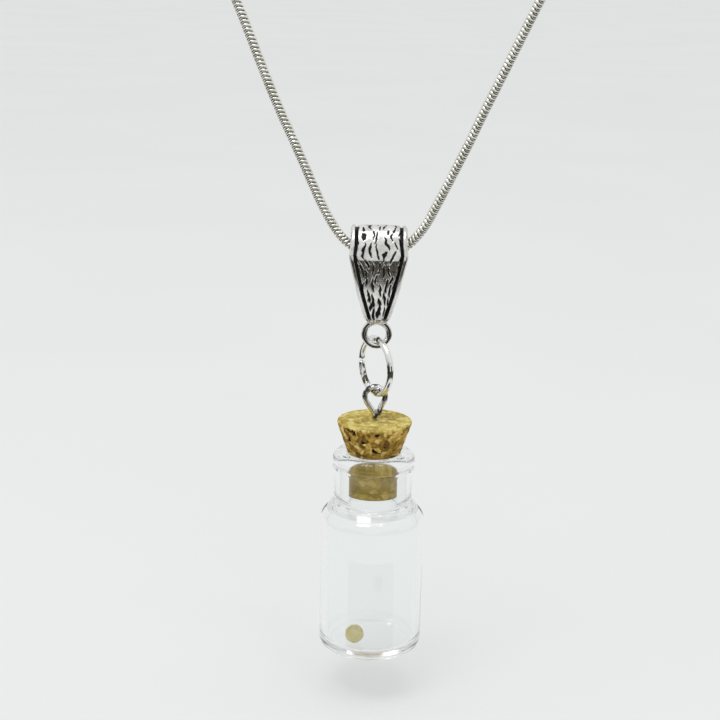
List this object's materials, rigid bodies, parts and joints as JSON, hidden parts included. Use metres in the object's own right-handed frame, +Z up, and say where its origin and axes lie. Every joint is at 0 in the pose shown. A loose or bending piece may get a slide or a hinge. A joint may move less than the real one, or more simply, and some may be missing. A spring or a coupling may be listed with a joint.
{
  "type": "sample vial pendant",
  "caption": "Small corked glass sample vial worn as a pendant: vial with one grain, cork, screw eye, jump ring, bark-pattern bail and snake chain.",
  "frame": {"origin": "centre of the vial's flat base", "axes": "+Z up along the vial's axis towards the bail, -Y the bail's front, +X to the right as worn"},
  "size_m": [0.0497, 0.013, 0.0994],
  "materials": {
    "clear_glass": "clear, polished",
    "grain": "matte, slightly grainy",
    "cork": "natural cork with dark pits",
    "silver_plate": "bright plate with fine scratches",
    "antique_silver": "cast bark pattern, bright on the ridges and blackened in the grooves",
    "silver_chain": "silver plated, ridged",
    "spring_steel": "plain steel"
  },
  "bodies": {
    "chain": {"snake_chain": "silver_chain", "end_cap_left": "silver_plate", "end_cap_right": "silver_plate", "clasp_ring": "silver_plate", "clasp_body": "silver_plate", "clasp_pin": "spring_steel", "clasp_spring": "spring_steel", "end_ring": "silver_plate"},
    "clasp_lever": {"clasp_lever": "silver_plate"},
    "bail": {"bail": "antique_silver"},
    "jump_ring": {"jump_ring": "silver_plate"},
    "stopper": {"cork_stopper": "cork", "screw_eye": "silver_plate"},
    "vial": {"glass_vial": "clear_glass"},
    "grain": {"grain": "grain"}
  },
  "joints": [
    {"name": "lever_hinge", "type": "hinge", "parent": "chain", "child": "clasp_lever", "pos_m": [-0.02158, 0, 0.09419], "axis": [0, -1, 0], "range_deg": [0, 18], "stiffness_Nm_per_rad": 0.01, "springref_deg": -17.19, "deforming": ["clasp_spring"]},
    {"name": "bail_swing", "type": "hinge", "parent": "chain", "child": "bail", "pos_m": [0, 0, 0.0519], "axis": [1, 0, 0], "range_deg": [-35, 35]},
    {"name": "jump_ring_swing", "type": "hinge", "parent": "bail", "child": "jump_ring", "pos_m": [0, 0, 0.03964], "axis": [1, 0, 0], "range_deg": [-35, 35]},
    {"name": "stopper_swing", "type": "hinge", "parent": "jump_ring", "child": "stopper", "pos_m": [0, 0, 0.03357], "axis": [0.5075, -0.8616, 0], "range_deg": [-30, 30]},
    {"name": "vial_slide", "type": "slide", "parent": "stopper", "child": "vial", "axis": [0, 0, -1], "range_m": [0, 0.006]},
    {"name": "grain_lift", "type": "slide", "parent": "vial", "child": "grain", "axis": [0, 0, 1], "range_m": [0, 0.013]}
  ]
}
